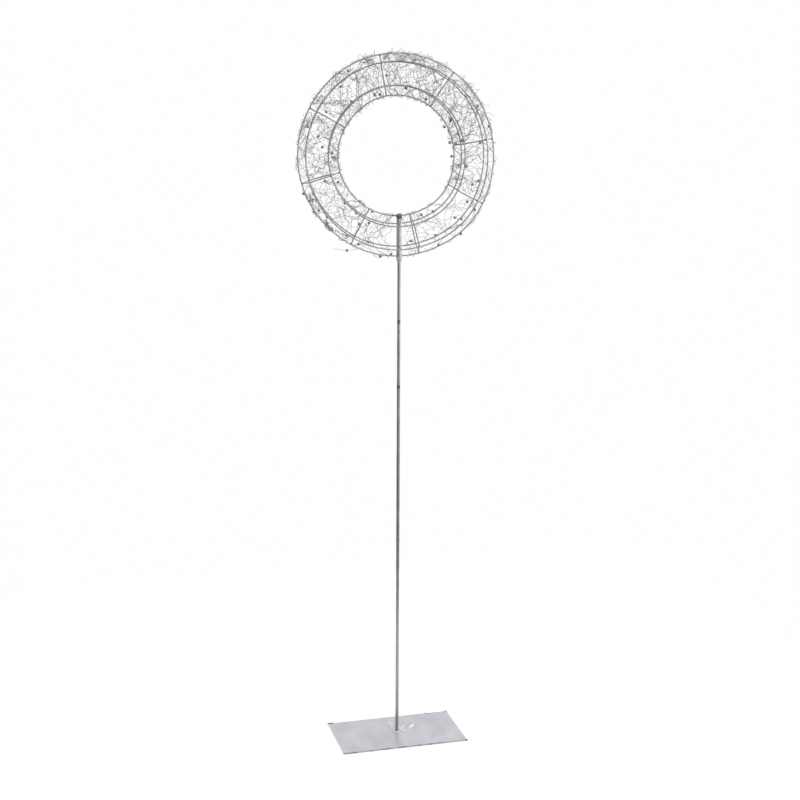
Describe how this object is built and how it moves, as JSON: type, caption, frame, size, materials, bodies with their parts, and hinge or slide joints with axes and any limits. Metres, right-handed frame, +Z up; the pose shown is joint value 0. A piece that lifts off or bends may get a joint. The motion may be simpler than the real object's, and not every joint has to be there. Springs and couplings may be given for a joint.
{
  "type": "wreath frame on a stand",
  "caption": "Ring-shaped wire cage with a hexagonal section, wound with crimped wire and beads, on a sleeve that turns on and lifts off a slim rod standing on a flat rectangular steel plate.",
  "frame": {"origin": "middle of the plate's underside, on the rod's axis", "axes": "+X along the plate's long edge, -Y to the front, +Z up along the rod"},
  "size_m": [0.3381, 0.1376, 1.2441],
  "materials": {
    "plate_steel": "satin silver lacquer, light lilac grey, sheared edges",
    "rod_steel": "satin, drawn lengthwise",
    "ring_wire": "satin drawn wire",
    "weld_metal": "rough weld, brushed over",
    "crimped_wire": "bright, crimped",
    "bead": "gloss silver grey"
  },
  "bodies": {
    "stand": {"base_plate": "plate_steel", "stand_rod": "rod_steel", "foot_weld": "weld_metal"},
    "sleeve": {"sleeve_tube": "rod_steel"},
    "wreath": {"sleeve_cap": "weld_metal", "sleeve_weld_top": "weld_metal", "sleeve_weld_bottom": "weld_metal", "outer_ring": "ring_wire", "front_outer_ring": "ring_wire", "back_outer_ring": "ring_wire", "front_inner_ring": "ring_wire", "back_inner_ring": "ring_wire", "inner_ring": "ring_wire", "brace_1": "ring_wire", "brace_2": "ring_wire", "brace_3": "ring_wire", "brace_4": "ring_wire", "brace_5": "ring_wire", "brace_6": "ring_wire", "brace_7": "ring_wire", "brace_8": "ring_wire", "curly_wire_1": "crimped_wire", "curly_wire_2": "crimped_wire", "curly_wire_3": "crimped_wire", "curly_wire_4": "crimped_wire", "curly_wire_5": "crimped_wire", "curly_wire_6": "crimped_wire", "curly_wire_7": "crimped_wire", "curly_wire_8": "crimped_wire", "curly_wire_9": "crimped_wire", "bead_1": "bead", "bead_2": "bead", "bead_3": "bead", "bead_4": "bead", "bead_5": "bead", "bead_6": "bead", "bead_7": "bead", "bead_8": "bead", "bead_9": "bead", "bead_10": "bead", "bead_11": "bead", "bead_12": "bead", "bead_13": "bead", "bead_14": "bead", "bead_15": "bead", "bead_16": "bead", "bead_17": "bead", "bead_18": "bead", "bead_19": "bead", "bead_20": "bead", "bead_21": "bead", "bead_22": "bead", "loose_wire_end": "crimped_wire", "loose_end_bead": "bead"}
  },
  "joints": [
    {"name": "lift_off", "type": "slide", "parent": "stand", "child": "sleeve", "axis": [0, 0, 1], "range_m": [0, 0.1]},
    {"name": "swivel", "type": "hinge", "parent": "sleeve", "child": "wreath", "pos_m": [0, 0, 0.96], "axis": [0, 0, 1], "continuous": true}
  ]
}
